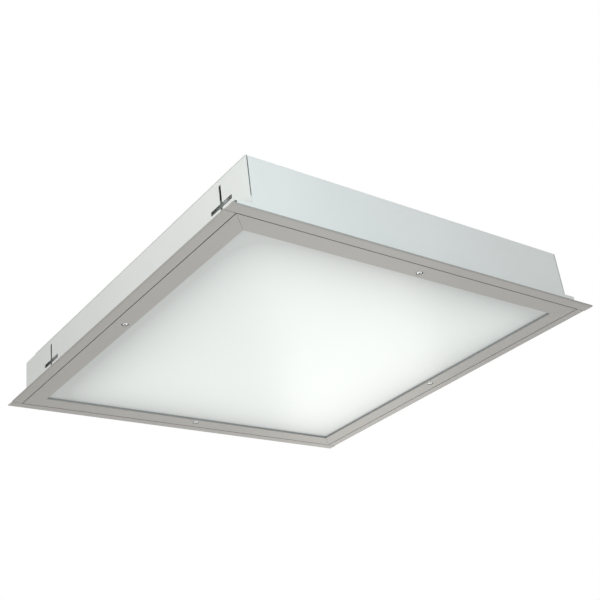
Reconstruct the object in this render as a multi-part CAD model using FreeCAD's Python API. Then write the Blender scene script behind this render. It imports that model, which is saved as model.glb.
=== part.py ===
import FreeCAD, Part
import os
from math import cos, pi, sin, tan

Vector = FreeCAD.Vector
X_AXIS = Vector(1, 0, 0)
Y_AXIS = Vector(0, 1, 0)
Z_AXIS = Vector(0, 0, 1)

# Recessed troffer light for a 600 mm ceiling module, in millimetres.
# The origin is the centre of the rim, in the plane of the visible face. +Z points up into the ceiling
# void, -Y is the front wall and the terminal box lies along the back wall. "Inset" is a distance
# inwards from the rim's outer edge, the same on all four sides.

# Rim and housing sheet
rim_size = 595.0            # outer size of the square rim
rim_width = 14.9            # from the rim's edge to the groove round the frame
trim_thickness = 1.2
trim_joint = 1.0            # butt joint between the long and the short trims
sheet = 0.8                 # housing sheet
bend_radius = 0.5           # inside radius of every sheet bend
body_height = 83.0
ledge_top = 18.0            # top of the ledge that the frame's seal closes on
end_wall_inset = 35.6       # outer face of the recessed end walls
corner_relief = 3.4         # open notch at the foot of each corner
wall_seam = 1.5             # slit between an end wall and the front or back wall
fold_width = 12.0           # weld flanges of the end plates
fit_gap = 0.2               # clearance between fixed sheet parts

# Cross-shaped bracket slots in the end plates
slot_inset = 55.7           # from the outer face of the front or back wall
slot_foot = 2.0             # from the ledge to the upright slot
slot_head = 8.6             # from the upright slot to the top
slot_across = 44.0
slot_bar = 6.0              # height of the level slot
slot_width = 4.6            # width of the upright slot

# Frame, made of mitred hollow rails
groove = 1.0                # between the rim and the frame
frame_width = 25.6
rail_height = 12.0
rail_wall = 1.0
face_thickness = 1.4
lip_nose = 0.8              # inner edge that carries the gasket and hides the pane's edge
chamber_width = 22.0        # outside width of the rail's hollow part
mitre_gap = 0.15
rail_edge = 0.4             # rounding of the rail's visible edges
key_clearance = 0.2
key_leg = 45.0

# Pane, gasket, clips and seal
pane_thickness = 3.0
pane_clearance = 0.4        # between the pane's edge and the rail
gasket_height = 2.4
clip_sheet = 0.6
clip_width = 14.0
clip_foot = 7.4             # length of the clip's foot on the rail
clip_toe = 5.0              # reach of the clip over the pane
clip_inset = 109.2          # from the pane's edge to a clip's middle
clip_screw_r = 1.45
clip_head_r = 2.8
clip_head_height = 1.8
seal_inset = 18.5
seal_width = 8.0
seal_corner = 6.0

# Frame screws with their sleeves and rivet nuts
screw_inset = 31.6
screw_shank_r = 2.45
screw_head_r = 4.3
screw_head_height = 3.2
screw_sink = 1.0            # the head's depth below the frame's face
screw_socket = 3.0          # across the flats of the hexagon socket
socket_depth = 1.9
screw_thread_reach = 9.0    # length of screw above the ledge
cup_clearance = 0.3         # round the head
shank_clearance = 0.2       # round the shank, in the rail and the sleeve
sleeve_wall = 0.6
nut_bore_clearance = 0.05
nut_body_r = 3.3
nut_flange_r = 4.9
nut_flange_height = 0.8
nut_bulge_r = 3.5
nut_bulge_height = 2.0
nut_length = 10.0           # above the ledge

# Gear tray, LED boards and driver
gear_depth = 29.0           # from the top of the housing down to the tray
tray_edge = 7.0             # turned-up left and right edges
tray_end_gap = 6.0          # to the end walls
tray_side_gap = 0.7         # to the front and back walls
bracket_width = 30.0
bracket_leg = 20.0
bracket_inset = 85.1        # from the tray's edge to a bracket's middle
tray_screw_r = 1.95
tray_screw_head_r = 4.0
tray_screw_head_height = 1.8
tray_screw_length = 6.0
hole_clearance = 0.05       # round fixed screws
board_count = 6
board_inset = 15.1          # from the tray's edge to a board's end
board_width = 22.0
board_thickness = 1.6
led_count = 12
led_size = 3.0
led_height = 0.8
connector_length = 12.0
connector_width = 8.0
connector_height = 4.0
connector_inset = 4.0       # from the board's end
jumper_r = 0.9
driver_length = 240.0
driver_width = 43.0
driver_height = 21.0
driver_end_inset = 55.1     # from the tray's left edge to the driver
driver_side_inset = 70.9    # from the tray's back edge to the driver's middle line
driver_lug = 12.0
driver_lug_thickness = 2.0
driver_screw_r = 1.9
driver_screw_head_r = 3.8
end_cover_length = 18.0
end_cover_step = 7.0        # the end covers are this much lower than the case

# Terminal box on the back wall
box_depth = 32.1            # from the back wall's outer face to the lid's outer face
box_height = 43.8
lid_skirt = 21.0
lid_screw_inset = 80.9      # from the box's end to the first lid screw
lid_screw_r = 1.95
lid_screw_head_r = 3.6
lid_screw_head_height = 1.9
lid_screw_length = 8.0
cable_inset = 45.9          # from the box's end to the cable entry
cable_rise = 11.8           # from the box's floor to the cable entry
cable_bore_r = 4.5
entry_hole_r = 7.5
grommet_flange_r = 9.8
grommet_flange = 2.5
plug_cap_r = 9.5
plug_cap = 1.6
plug_neck = 3.0
feed_inset = 160.9          # from the box's end to where the wires pass into the housing
feed_drop = 15.0            # from the top down to there
feed_hole_r = 6.5
feed_bore_r = 3.7
feed_flange_r = 8.5
feed_flange = 2.0

# Terminal block and its release buttons
block_length = 36.0
block_width = 25.5
block_height = 20.0
block_step = 6.0            # the wire ends of the block are this much lower
block_shoulder = 7.0
block_inset = 112.9         # from the box's end to the block's middle
pole_pitch = 8.0
entry_r = 1.7
entry_depth = 9.0
entry_height = 8.0
button_side = 4.4
button_clearance = 0.3
button_proud = 2.6
button_travel = 1.5
button_depth = 6.0
button_offset = 6.0         # from the block's middle towards the cable side
block_screw_r = 1.45
block_screw_head_r = 2.7
block_screw_head_height = 1.6

# Wires and earth stud
wire_r = 1.1
led_wire_r = 0.8
led_wire_pitch = 2.4
wire_spread = 2.35          # between the wires in the inner grommet
stud_reach = 40.0           # from the inner grommet to the earth stud, along the wall
stud_inset = 32.6           # from the back wall to the stud
stud_r = 1.95
stud_length = 14.0
stud_nut_r = 4.0
stud_nut_height = 3.2
lug_r = 4.2
lug_thickness = 0.8

# Worked out from the sizes above
half = rim_size / 2
wall_in = half - rim_width              # inner face of the front wall and of the collars
wall_out = wall_in + sheet
end_out = half - end_wall_inset         # outer face of the end walls
end_in = end_out - sheet
foot_end = wall_out - corner_relief     # ends of the collars and of the front wall's foot
flange_tip = half - trim_thickness - bend_radius
rim_top = trim_thickness + sheet         # upper face of the rim
ledge_low = ledge_top - sheet
slot_offset = wall_out - slot_inset
slot_tall = body_height - slot_head - ledge_top - slot_foot
slot_height = ledge_top + slot_foot + slot_tall / 2
roof_low = body_height - sheet
seam_end = end_in - wall_seam           # ends of the front wall above the ledge
frame_out = wall_in - groove
frame_in = frame_out - frame_width
chamber_in = frame_out - chamber_width
chamber_roof = rail_height - rail_wall
pane_half = chamber_in - pane_clearance
pane_low = lip_nose + gasket_height
pane_top = pane_low + pane_thickness
clip_offset = pane_half - clip_inset
screw_line = half - screw_inset
screw_seat = screw_sink + screw_head_height
screw_tip = ledge_top + screw_thread_reach
tray_half_x = end_in - tray_end_gap
tray_half_y = wall_in - tray_side_gap
tray_height = body_height - gear_depth
tray_top = tray_height + sheet
bracket_offset = tray_half_x - bracket_inset
bracket_reach = tray_half_y - bracket_leg
board_low = tray_height - board_thickness
board_pitch = 2 * tray_half_y / board_count
board_length = 2 * (tray_half_x - board_inset)
led_pitch = board_length / led_count
driver_x = driver_end_inset + driver_length / 2 - tray_half_x
driver_y = tray_half_y - driver_side_inset
box_back = wall_out + box_depth
box_wall_out = box_back - sheet
box_wall_in = box_wall_out - sheet
box_inner = wall_out + sheet
box_floor = body_height - box_height
box_bottom_in = box_floor + sheet
box_end = end_in - fit_gap
lid_screw_x = box_end - lid_screw_inset
cable_x = box_end - cable_inset
cable_height = box_floor + cable_rise
feed_x = box_end - feed_inset
feed_height = body_height - feed_drop
block_x = box_end - block_inset
stud_x = feed_x + stud_reach
stud_y = wall_in - stud_inset
box_middle = (box_inner + box_wall_in) / 2
block_top = box_bottom_in + block_height


def block(low, high):
    """A plain block between two corners."""
    return Part.makeBox(high[0] - low[0], high[1] - low[1], high[2] - low[2], Vector(*low))


def rod(radius, start, direction, length):
    """A round bar from start along direction."""
    return Part.makeCylinder(radius, length, Vector(*start), direction)


def turned(outline, start, direction):
    """A turned piece. Outline is a list of (radius, distance along the axis), closed by itself."""
    points = [Vector(r, 0, z) for r, z in outline]
    face = Part.Face(Part.makePolygon(points + points[:1]))
    solid = face.revolve(Vector(0, 0, 0), Z_AXIS, 360)
    solid.Placement = FreeCAD.Placement(Vector(*start), FreeCAD.Rotation(Z_AXIS, direction))
    return solid


def prism(points, direction):
    """A straight piece whose section is the polygon of 3-D points."""
    corners = [Vector(*p) for p in points]
    return Part.Face(Part.makePolygon(corners + corners[:1])).extrude(direction)


def sheet_skin(points, normal, offset, thickness):
    """The edges of one skin of a bent sheet, offset to the left of points as normal looks at it."""
    edges = []
    start = points[0] + normal.cross((points[1] - points[0]).normalize()) * offset
    for before, corner, after in zip(points, points[1:], points[2:]):
        come = (corner - before).normalize()
        go = (after - corner).normalize()
        side = 1 if normal.dot(come.cross(go)) > 0 else -1
        radius = bend_radius + (thickness if side > 0 else 0)
        centre = corner + (normal.cross(come) * side - come * tan(come.getAngle(go) / 2)) * radius
        reach = radius - side * offset
        first = centre - normal.cross(come) * side * reach
        last = centre - normal.cross(go) * side * reach
        middle = centre - (normal.cross(come) + normal.cross(go)).normalize() * side * reach
        edges.append(Part.LineSegment(start, first).toShape())
        edges.append(Part.Arc(first, middle, last).toShape())
        start = last
    end = points[-1] + normal.cross((points[-1] - points[-2]).normalize()) * offset
    edges.append(Part.LineSegment(start, end).toShape())
    return edges, end


def bent_sheet(points, normal, length, thickness):
    """A bent sheet: its section follows points, with the thickness to their left, extruded along normal."""
    path = [Vector(*p) for p in points]
    near, near_end = sheet_skin(path, normal, 0, thickness)
    far, far_end = sheet_skin(path, normal, thickness, thickness)
    far_start = far[0].Vertexes[0].Point
    caps = [Part.LineSegment(path[0], far_start).toShape(), Part.LineSegment(near_end, far_end).toShape()]
    outline = Part.Wire(Part.__sortEdges__(near + far + caps))
    return Part.Face(outline).extrude(normal * length)


def bent_along_x(section, x_low, x_high, thickness):
    """A bent sheet that runs along X, with its section given as (y, z)."""
    return bent_sheet([(x_low, y, z) for y, z in section], X_AXIS, x_high - x_low, thickness)


def both_ends(shape):
    """A shape and its mirror image at the other end of the light."""
    return [shape, shape.mirror(Vector(0, 0, 0), X_AXIS)]


def four_sides(shape):
    """A shape made at the front, repeated at the right, back and left."""
    copies = []
    for quarter in range(4):
        copy = shape.copy()
        copy.rotate(Vector(0, 0, 0), Z_AXIS, 90 * quarter)
        copies.append(copy)
    return copies


def tube(points, radius):
    """A wire along straight runs joined by tangent arcs, each as large as its two runs allow."""
    route = [Vector(*p) for p in points]
    edges = []
    start = route[0]
    for before, corner, after in zip(route, route[1:], route[2:]):
        come = (corner - before).normalize()
        go = (after - corner).normalize()
        reach = 0.45 * min((corner - before).Length, (after - corner).Length)
        first = corner - come * reach
        last = corner + go * reach
        bend = reach / tan(come.getAngle(go) / 2)
        centre = corner + (go - come).normalize() * (bend ** 2 + reach ** 2) ** 0.5
        middle = centre + (corner - centre).normalize() * bend
        edges.append(Part.LineSegment(start, first).toShape())
        edges.append(Part.Arc(first, middle, last).toShape())
        start = last
    edges.append(Part.LineSegment(start, route[-1]).toShape())
    path = Part.Wire(edges)
    section = Part.Wire(Part.Circle(route[0], route[1] - route[0], radius).toShape())
    return path.makePipeShell([section], True, False)


def bolt(shank_r, head_r, head_height, length, seat, direction):
    """A fixed pan-head screw. Direction points from its seat along the shank."""
    edge = head_height / 3
    outline = [(0, -head_height), (head_r - edge, -head_height), (head_r, edge - head_height)]
    outline += [(head_r, 0), (shank_r, 0), (shank_r, length - edge), (shank_r - edge, length), (0, length)]
    return turned(outline, seat, direction)


def grommet(hole_r, bore_r, flange_r, flange, wall_low, wall_high):
    """A rubber grommet along Z that holds a wall between wall_low and wall_high."""
    soft = flange / 3
    outline = [(bore_r, wall_low - flange), (flange_r - soft, wall_low - flange), (flange_r, wall_low - soft)]
    outline += [(flange_r, wall_low), (hole_r, wall_low), (hole_r, wall_high), (flange_r, wall_high)]
    outline += [(flange_r, wall_high + soft), (flange_r - soft, wall_high + flange), (bore_r, wall_high + flange)]
    return outline


# Rim and housing

def make_rim_trims():
    """Angle strips under the sheet flange. Front and back run through, left and right butt between."""
    section = [(-half, rim_top), (-half, 0), (-wall_in, 0)]
    short = wall_in - trim_joint
    front = bent_along_x(section, -half, half, trim_thickness)
    right = bent_along_x(section, -short, short, trim_thickness)
    right.rotate(Vector(0, 0, 0), Z_AXIS, 90)
    back = front.mirror(Vector(0, 0, 0), Y_AXIS)
    return {"rim_trim_front": front, "rim_trim_back": back,
            "rim_trim_right": right, "rim_trim_left": both_ends(right)[1]}


def make_housing_pan():
    """One folded sheet: rim flange, front wall, roof, back wall and rim flange."""
    section = [(-flange_tip, trim_thickness), (-wall_in, trim_thickness), (-wall_in, roof_low),
               (wall_in, roof_low), (wall_in, trim_thickness), (flange_tip, trim_thickness)]
    pan = bent_along_x(section, -foot_end, foot_end, sheet)
    above_ledge = ledge_top + fit_gap
    for end in both_ends(block((end_out, -half, above_ledge), (half, half, body_height + sheet))):
        pan = pan.cut(end)
    for side in (-1, 1):
        low_y, high_y = sorted((side * (wall_in - sheet), side * half))
        for slit in both_ends(block((seam_end, low_y, above_ledge), (half, high_y, roof_low))):
            pan = pan.cut(slit)
    return pan.cut(rod(feed_hole_r, (feed_x, wall_in - sheet, feed_height), Y_AXIS, 3 * sheet))


def cross_slot(y):
    """The tool that cuts one cross-shaped slot through an end wall."""
    wide = block((end_in - sheet, y - slot_across / 2, slot_height - slot_bar / 2),
                 (end_out + sheet, y + slot_across / 2, slot_height + slot_bar / 2))
    tall = block((end_in - sheet, y - slot_width / 2, slot_height - slot_tall / 2),
                 (end_out + sheet, y + slot_width / 2, slot_height + slot_tall / 2))
    return wide.fuse(tall)


def make_end_plates():
    """Stepped end plates: flange, collar, ledge and recessed wall, which also closes the terminal box."""
    section = [(flange_tip, trim_thickness), (wall_in, trim_thickness), (wall_in, ledge_low),
               (end_in, ledge_low), (end_in, roof_low - sheet), (end_in - fold_width, roof_low - sheet)]
    points = [(x, -wall_out, z) for x, z in section]
    plate = bent_sheet(points, Y_AXIS, wall_out + box_back, sheet)
    ledge_y = wall_in - fit_gap
    fold_y = ledge_y - bend_radius
    above_ledge = ledge_top + fit_gap
    for side in (-1, 1):
        low_y, high_y = sorted((side * ledge_y, side * box_back))
        plate = plate.cut(block((0, low_y, 0), (half, high_y, above_ledge)))
        low_y, high_y = sorted((side * fold_y, side * box_back))
        plate = plate.cut(block((0, low_y, above_ledge), (end_in, high_y, body_height)))
    for low_y, high_y in ((-half, -foot_end), (foot_end, half)):
        plate = plate.cut(block((wall_in - sheet, low_y, 0), (half, high_y, ledge_top)))
    plate = plate.cut(block((end_in - sheet, wall_out, 0), (half, box_back + sheet, box_floor)))
    plate = plate.cut(cross_slot(-slot_offset)).cut(cross_slot(slot_offset))
    plate = plate.cut(rod(nut_body_r, (screw_line, 0, ledge_low - sheet), Z_AXIS, 3 * sheet))
    right, left = both_ends(plate.removeSplitter())
    return {"end_plate_right": right, "end_plate_left": left}


def make_side_ledges():
    """Angles on the front and back walls that carry the seal and the screws there."""
    section = [(-wall_in, ledge_low + fold_width), (-wall_in, ledge_low), (-end_in, ledge_low)]
    front = bent_along_x(section, fit_gap - end_in, end_in - fit_gap, sheet)
    front = front.cut(rod(nut_body_r, (0, -screw_line, ledge_low - sheet), Z_AXIS, 3 * sheet))
    return {"side_ledge_front": front, "side_ledge_back": front.mirror(Vector(0, 0, 0), Y_AXIS)}


def make_frame_nuts():
    """Rivet nuts set in the ledges, one over each frame screw."""
    bore = screw_shank_r + nut_bore_clearance
    outline = [(bore, -nut_flange_height), (nut_flange_r, -nut_flange_height), (nut_flange_r, 0),
               (nut_body_r, 0), (nut_body_r, sheet), (nut_bulge_r, sheet),
               (nut_bulge_r, sheet + nut_bulge_height / 2), (nut_body_r, sheet + nut_bulge_height),
               (nut_body_r, nut_length), (bore, nut_length)]
    return Part.makeCompound(four_sides(turned(outline, (0, -screw_line, ledge_low), Z_AXIS)))


# Frame

def make_frame_rails():
    """Hollow extrusions with a thin inner lip, mitred at 45 degrees."""
    outline = [(-frame_out, 0), (-frame_in, 0), (-frame_in, lip_nose), (-chamber_in, lip_nose),
               (-chamber_in, rail_height), (-frame_out, rail_height)]
    bar = prism([(-half, y, z) for y, z in outline], X_AXIS * rim_size)
    visible = [e for e in bar.Edges if e.Length > half and e.CenterOfMass.z < rail_edge]
    bar = bar.makeFillet(rail_edge, visible)
    bar = bar.cut(block((-half, rail_wall - frame_out, face_thickness),
                        (half, -chamber_in - rail_wall, chamber_roof)))
    mitre = prism([(0, -mitre_gap, 0), (-half, -half - mitre_gap, 0), (half, -half - mitre_gap, 0)],
                  Z_AXIS * rail_height)
    bar = bar.common(mitre)
    bar = bar.cut(rod(screw_head_r + cup_clearance, (0, -screw_line, 0), Z_AXIS, face_thickness))
    bar = bar.cut(rod(screw_shank_r + shank_clearance, (0, -screw_line, chamber_roof), Z_AXIS, rail_wall))
    for x in (-clip_offset, clip_offset):
        bar = bar.cut(rod(clip_screw_r + hole_clearance, (x, clip_line(), chamber_roof), Z_AXIS, rail_wall))
    front, right, back, left = four_sides(bar)
    return {"frame_rail_front": front, "frame_rail_right": right,
            "frame_rail_back": back, "frame_rail_left": left}


def make_corner_keys():
    """Angles pushed into the rails' hollow ends, which hold the mitres together."""
    low = rail_wall + key_clearance - frame_out
    high = -chamber_in - rail_wall - key_clearance
    end = low + key_leg
    outline = [(low, low), (end, low), (end, high), (high, high), (high, end), (low, end)]
    key = prism([(x, y, face_thickness + key_clearance) for x, y in outline],
                Z_AXIS * (chamber_roof - face_thickness - 2 * key_clearance))
    middle = (low + high) / 2
    for x, y in ((end - fold_width, middle), (middle, end - fold_width), (middle, middle)):
        key = key.cut(rod(fold_width / 4, (x, y, 0), Z_AXIS, rail_height))
    return Part.makeCompound(four_sides(key))


def ring(outer, inner, low, high, corner):
    """A square ring with rounded corners."""
    solid = block((-outer, -outer, low), (outer, outer, high))
    hole = block((-inner, -inner, low), (inner, inner, high))
    if corner > 0:
        upright = [e for e in solid.Edges if abs(e.tangentAt(e.FirstParameter).z) > 0.5]
        solid = solid.makeFillet(corner, upright)
    return solid.cut(hole)


def make_pane():
    """Opal diffuser with slightly eased edges."""
    pane = block((-pane_half, -pane_half, pane_low), (pane_half, pane_half, pane_top))
    upper = [e for e in pane.Edges if e.CenterOfMass.z > pane_top - pane_thickness / 4]
    return pane.makeChamfer(pane_clearance, upper)


def clip_line():
    """The line of the clips' screws, as a Y value at the front."""
    return -chamber_in - clip_foot / 2


def make_pane_clips():
    """Spring clips: a foot on the rail, a leg past its side and a toe on the pane."""
    leg = clip_sheet - chamber_in
    section = [(-chamber_in - clip_foot, rail_height), (leg, rail_height), (leg, pane_top),
               (leg + clip_toe, pane_top)]
    clips = []
    for x in (-clip_offset, clip_offset):
        clip = bent_along_x(section, x - clip_width / 2, x + clip_width / 2, clip_sheet)
        hole = rod(clip_screw_r + hole_clearance, (x, clip_line(), rail_height), Z_AXIS, clip_sheet)
        clips += four_sides(clip.cut(hole))
    return Part.makeCompound(clips)


def make_clip_screws():
    """Small screws that hold the clips on the rails."""
    length = clip_sheet + rail_wall + clip_sheet
    screws = []
    for x in (-clip_offset, clip_offset):
        seat = (x, clip_line(), rail_height + clip_sheet)
        screws += four_sides(bolt(clip_screw_r, clip_head_r, clip_head_height, length, seat, -Z_AXIS))
    return Part.makeCompound(screws)


def make_screw_sleeves():
    """Cup sleeves that take the frame screws' pull, so that the hollow rails aren't crushed."""
    cup = screw_head_r + cup_clearance
    bore = screw_shank_r + shank_clearance
    outline = [(cup, face_thickness), (cup + sleeve_wall, face_thickness), (cup + sleeve_wall, chamber_roof),
               (bore, chamber_roof), (bore, screw_seat), (cup, screw_seat)]
    return Part.makeCompound(four_sides(turned(outline, (0, -screw_line, 0), Z_AXIS)))


def make_frame_screws():
    """Socket screws that pull the frame up against the ledge."""
    edge = rail_edge
    outline = [(0, screw_sink), (screw_head_r - edge, screw_sink), (screw_head_r, screw_sink + edge),
               (screw_head_r, screw_seat), (screw_shank_r, screw_seat), (screw_shank_r, screw_tip - edge),
               (screw_shank_r - edge, screw_tip), (0, screw_tip)]
    screw = turned(outline, (0, -screw_line, 0), Z_AXIS)
    corner_r = screw_socket / 2 / cos(pi / 6)
    corners = [(corner_r * cos(n * pi / 3), corner_r * sin(n * pi / 3) - screw_line, screw_sink)
               for n in range(6)]
    screw = screw.cut(prism(corners, Z_AXIS * socket_depth))
    names = ("frame_screw_front", "frame_screw_right", "frame_screw_back", "frame_screw_left")
    return dict(zip(names, four_sides(screw)))


# Gear tray with the LED boards and the driver

def make_gear_tray():
    """Flat white tray with turned-up ends, which carries boards and driver."""
    section = [(-tray_half_x, tray_height + tray_edge), (-tray_half_x, tray_height),
               (tray_half_x, tray_height), (tray_half_x, tray_height + tray_edge)]
    points = [(x, tray_half_y, z) for x, z in section]
    tray = bent_sheet(points, -Y_AXIS, 2 * tray_half_y, sheet)
    for x, y in bracket_places():
        tray = tray.cut(rod(tray_screw_r + hole_clearance, (x, y, tray_height), Z_AXIS, sheet))
    for x in driver_screw_places():
        tray = tray.cut(rod(driver_screw_r + hole_clearance, (x, driver_y, tray_height), Z_AXIS, sheet))
    x, y = wire_drop()
    return tray.cut(rod(3 * led_wire_r + led_wire_pitch / 2, (x, y, tray_height), Z_AXIS, sheet))


def bracket_places():
    """Where the tray is screwed to its brackets."""
    y = tray_half_y - bracket_leg / 2
    return [(x, side * y) for x in (-bracket_offset, bracket_offset) for side in (-1, 1)]


def make_tray_brackets():
    """Angles welded to the front and back walls above the tray."""
    section = [(-wall_in, tray_top + bracket_leg), (-wall_in, tray_top), (-bracket_reach, tray_top)]
    brackets = []
    for x, y in bracket_places():
        bracket = bent_along_x(section, x - bracket_width / 2, x + bracket_width / 2, sheet)
        if y > 0:
            bracket = bracket.mirror(Vector(0, 0, 0), Y_AXIS)
        brackets.append(bracket.cut(rod(tray_screw_r + hole_clearance, (x, y, tray_top), Z_AXIS, sheet)))
    return Part.makeCompound(brackets)


def make_tray_screws():
    """Screws up through the tray into its brackets."""
    return Part.makeCompound([bolt(tray_screw_r, tray_screw_head_r, tray_screw_head_height, tray_screw_length,
                                   (x, y, tray_height), Z_AXIS) for x, y in bracket_places()])


def board_rows():
    """The middle line of each LED board."""
    return [(n - (board_count - 1) / 2) * board_pitch for n in range(board_count)]


def make_led_boards():
    """Long white boards under the tray."""
    return Part.makeCompound([block((-board_length / 2, y - board_width / 2, board_low),
                                    (board_length / 2, y + board_width / 2, tray_height))
                              for y in board_rows()])


def make_led_packages():
    """A row of LED packages along each board."""
    packages = []
    for y in board_rows():
        for n in range(led_count):
            x = (n - (led_count - 1) / 2) * led_pitch + led_size
            packages.append(block((x - led_size / 2, y - led_size / 2, board_low - led_height),
                                  (x + led_size / 2, y + led_size / 2, board_low)))
    return Part.makeCompound(packages)


def connector_x():
    """The middle of the board connectors."""
    return connector_inset + connector_length / 2 - board_length / 2


def make_board_connectors():
    """A plug-in connector at the left end of each board."""
    x = connector_x()
    return Part.makeCompound([block((x - connector_length / 2, y - connector_width / 2,
                                     board_low - connector_height),
                                    (x + connector_length / 2, y + connector_width / 2, board_low))
                              for y in board_rows()])


def make_jumper_wires():
    """Short wires from each board's connector to the next."""
    rows = board_rows()
    z = board_low - connector_height / 2
    jumpers = []
    for this, following in zip(rows, rows[1:]):
        for side in (-1, 1):
            x = connector_x() + side * led_wire_pitch / 2
            start = this + connector_width / 2
            jumpers.append(rod(jumper_r, (x, start, z), Y_AXIS, following - this - connector_width))
    return Part.makeCompound(jumpers)


def driver_screw_places():
    """The X places of the driver's two lug screws."""
    reach = driver_length / 2 + driver_lug / 2
    return [driver_x - reach, driver_x + reach]


def make_driver_case():
    """Closed driver housing with rounded long edges and a fixing lug at each end."""
    low = (driver_x - driver_length / 2 + end_cover_length, driver_y - driver_width / 2, tray_top)
    high = (driver_x + driver_length / 2 - end_cover_length, driver_y + driver_width / 2,
            tray_top + driver_height)
    case = block(low, high)
    top = [e for e in case.Edges if e.CenterOfMass.z > tray_top + driver_height / 2
           and abs(e.tangentAt(e.FirstParameter).x) > 0.5]
    return case.makeFillet(end_cover_length / 8, top)


def make_driver_covers():
    """Lower end covers over the driver's terminals, each with a fixing lug."""
    covers = []
    for side, screw_x in zip((-1, 1), driver_screw_places()):
        inner = driver_x + side * (driver_length / 2 - end_cover_length)
        outer = driver_x + side * driver_length / 2
        tip = outer + side * driver_lug
        low_x, high_x = sorted((inner, outer))
        cover = block((low_x, driver_y - driver_width / 2, tray_top),
                      (high_x, driver_y + driver_width / 2, tray_top + driver_height - end_cover_step))
        low_x, high_x = sorted((outer, tip))
        cover = cover.fuse(block((low_x, driver_y - driver_lug / 2, tray_top),
                                 (high_x, driver_y + driver_lug / 2, tray_top + driver_lug_thickness)))
        for y in (driver_y - driver_width / 3, driver_y + driver_width / 3):
            z = tray_top + (driver_height - end_cover_step) / 2
            cover = cover.cut(rod(entry_r, (outer - side * entry_depth, y, z), X_AXIS * side, entry_depth))
        cover = cover.cut(rod(driver_screw_r + hole_clearance, (screw_x, driver_y, tray_top), Z_AXIS,
                              driver_lug_thickness))
        covers.append(cover)
    return Part.makeCompound(covers)


def make_driver_screws():
    """Screws through the driver's lugs into the tray."""
    length = driver_lug_thickness + sheet
    seat_z = tray_top + driver_lug_thickness
    return Part.makeCompound([bolt(driver_screw_r, driver_screw_head_r, driver_lug_thickness, length,
                                   (x, driver_y, seat_z), -Z_AXIS) for x in driver_screw_places()])


# Terminal box

def make_box_channel():
    """Folded channel on the back wall, with two entries in its outer wall."""
    section = [(wall_out, roof_low), (wall_out, box_floor), (box_wall_out, box_floor),
               (box_wall_out, roof_low - bend_radius)]
    channel = bent_along_x(section, -box_end, box_end, sheet)
    for x in (-cable_x, cable_x):
        channel = channel.cut(rod(entry_hole_r, (x, box_wall_in, cable_height), Y_AXIS, sheet))
    channel = channel.cut(rod(feed_hole_r, (feed_x, wall_out, feed_height), Y_AXIS, sheet))
    for x, z in lid_screw_places():
        channel = channel.cut(rod(lid_screw_r + hole_clearance, (x, box_wall_in, z), Y_AXIS, sheet))
    return channel.cut(rod(block_screw_r + hole_clearance, (block_x, box_middle, box_floor), Z_AXIS, sheet))


def lid_screw_places():
    """The (x, z) places of the lid screws."""
    z = body_height - lid_skirt / 2
    return [(x, z) for x in (-lid_screw_x, 0, lid_screw_x)]


def make_box_lid():
    """Lid of the terminal box, with a skirt over the channel's outer wall."""
    section = [(wall_out + fit_gap, roof_low), (box_wall_out, roof_low),
               (box_wall_out, body_height - lid_skirt)]
    lid = bent_along_x(section, -box_end, box_end, sheet)
    for x, z in lid_screw_places():
        lid = lid.cut(rod(lid_screw_r + hole_clearance, (x, box_wall_out, z), Y_AXIS, sheet))
    return lid


def make_lid_screws():
    """Screws through the lid's skirt into the channel."""
    return Part.makeCompound([bolt(lid_screw_r, lid_screw_head_r, lid_screw_head_height, lid_screw_length,
                                   (x, box_back, z), -Y_AXIS) for x, z in lid_screw_places()])


def make_cable_grommet():
    """Rubber grommet in the mains entry."""
    outline = grommet(entry_hole_r, cable_bore_r, grommet_flange_r, grommet_flange, 0, sheet)
    return turned(outline, (cable_x, box_wall_in, cable_height), Y_AXIS)


def make_blanking_plug():
    """Snap-in plug that closes the through-wiring entry."""
    cap = sheet + plug_cap
    outline = [(0, -plug_neck), (entry_hole_r - plug_cap / 2, -plug_neck), (entry_hole_r, 0),
               (entry_hole_r, sheet), (plug_cap_r, sheet), (plug_cap_r - plug_cap / 2, cap), (0, cap)]
    return turned(outline, (-cable_x, box_wall_in, cable_height), Y_AXIS)


def make_feed_grommet():
    """Rubber grommet where the wires pass through the back wall."""
    outline = grommet(feed_hole_r, feed_bore_r, feed_flange_r, feed_flange, 0, 2 * sheet)
    return turned(outline, (feed_x, wall_in, feed_height), Y_AXIS)


def pole_lines():
    """The Y place of each of the three poles: earth, neutral and live."""
    return [box_middle + n * pole_pitch for n in (-1, 0, 1)]


def make_terminal_block():
    """Three-pole block with low wire ends, entries at both ends and wells for the release buttons."""
    ends = (block_x - block_length / 2, block_x + block_length / 2)
    low_y = box_middle - block_width / 2
    outline = [(ends[0], 0), (ends[1], 0), (ends[1], block_height - block_step),
               (ends[1] - block_shoulder, block_height), (ends[0] + block_shoulder, block_height),
               (ends[0], block_height - block_step)]
    body = prism([(x, low_y, box_bottom_in + z) for x, z in outline], Y_AXIS * block_width)
    well = button_side / 2 + button_clearance
    for y in pole_lines():
        for x, way in ((ends[0], X_AXIS), (ends[1], -X_AXIS)):
            body = body.cut(rod(entry_r, (x, y, box_bottom_in + entry_height), way, entry_depth))
        x = block_x + button_offset
        deep = block_top - button_depth - button_travel
        body = body.cut(block((x - well, y - well, deep), (x + well, y + well, block_top)))
    bore = block_screw_r + hole_clearance
    body = body.cut(rod(bore, (block_x, box_middle, box_bottom_in), Z_AXIS, block_height))
    pocket = block_screw_head_r + hole_clearance
    return body.cut(rod(pocket, (block_x, box_middle, block_top - block_step), Z_AXIS, block_step))


def make_block_screw():
    """The screw that holds the terminal block on the channel's floor."""
    seat_z = block_top - block_step
    length = block_height - block_step + sheet
    return bolt(block_screw_r, block_screw_head_r, block_screw_head_height, length,
                (block_x, box_middle, seat_z), -Z_AXIS)


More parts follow.
